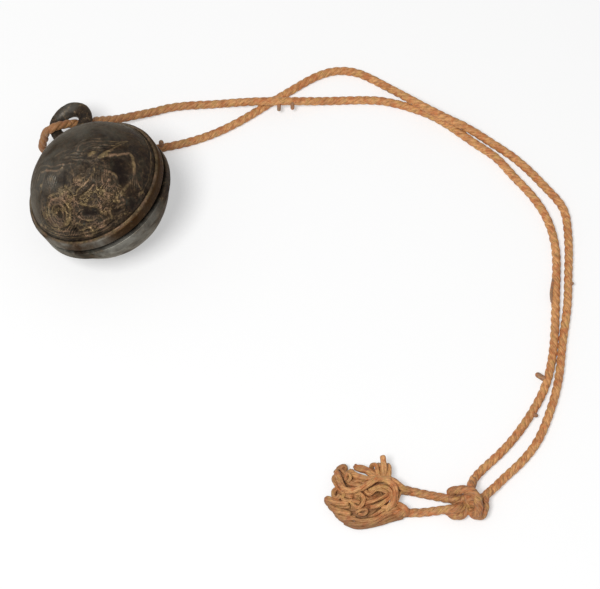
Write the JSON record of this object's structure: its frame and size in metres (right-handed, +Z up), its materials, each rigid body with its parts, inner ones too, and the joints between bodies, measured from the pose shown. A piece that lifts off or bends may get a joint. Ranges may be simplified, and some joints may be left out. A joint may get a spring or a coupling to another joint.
{
  "type": "pellet bell",
  "caption": "Round cast-bronze pellet bell with slotted cheeks, worn relief, a thick suspension ring and a loose inner pellet, on a long laid cord knotted at its end.",
  "frame": {"origin": "middle of the small worn flat on the back cheek, on which the bell lies", "axes": "+Z up from the table, +Y away from the viewer towards the suspension ring, +X to the right along the cord's first run"},
  "size_m": [0.3138, 0.2955, 0.0769],
  "materials": {
    "bronze_front": "worn dark bronze, golden on raised lines",
    "bronze_back": "dusty dark bronze",
    "bronze_crown": "worn dark bronze",
    "bronze_ring": "dark worn bronze",
    "iron_pellet": "rusty",
    "cord_upper": "laid fibre cord",
    "cord_lower": "laid fibre cord",
    "cord_knot": "laid fibre cord",
    "cord_tails": "laid fibre cord",
    "cord_strands": "unlaid fibre strands"
  },
  "bodies": {
    "bell": {"front_shell": "bronze_front", "back_shell": "bronze_back", "crown_bridge_left": "bronze_crown", "crown_bridge_right": "bronze_crown", "suspension_ring": "bronze_ring", "cord_upper_leg": "cord_upper", "cord_lower_leg": "cord_lower", "end_knot": "cord_knot", "knot_tail_upper": "cord_tails", "knot_tail_lower": "cord_tails", "strand_tangle": "cord_strands"},
    "pellet": {"pellet": "iron_pellet"}
  },
  "joints": [
    {"name": "pellet_throw", "type": "slide", "parent": "bell", "child": "pellet", "axis": [0, 0, 1], "range_m": [0, 0.0535]}
  ]
}
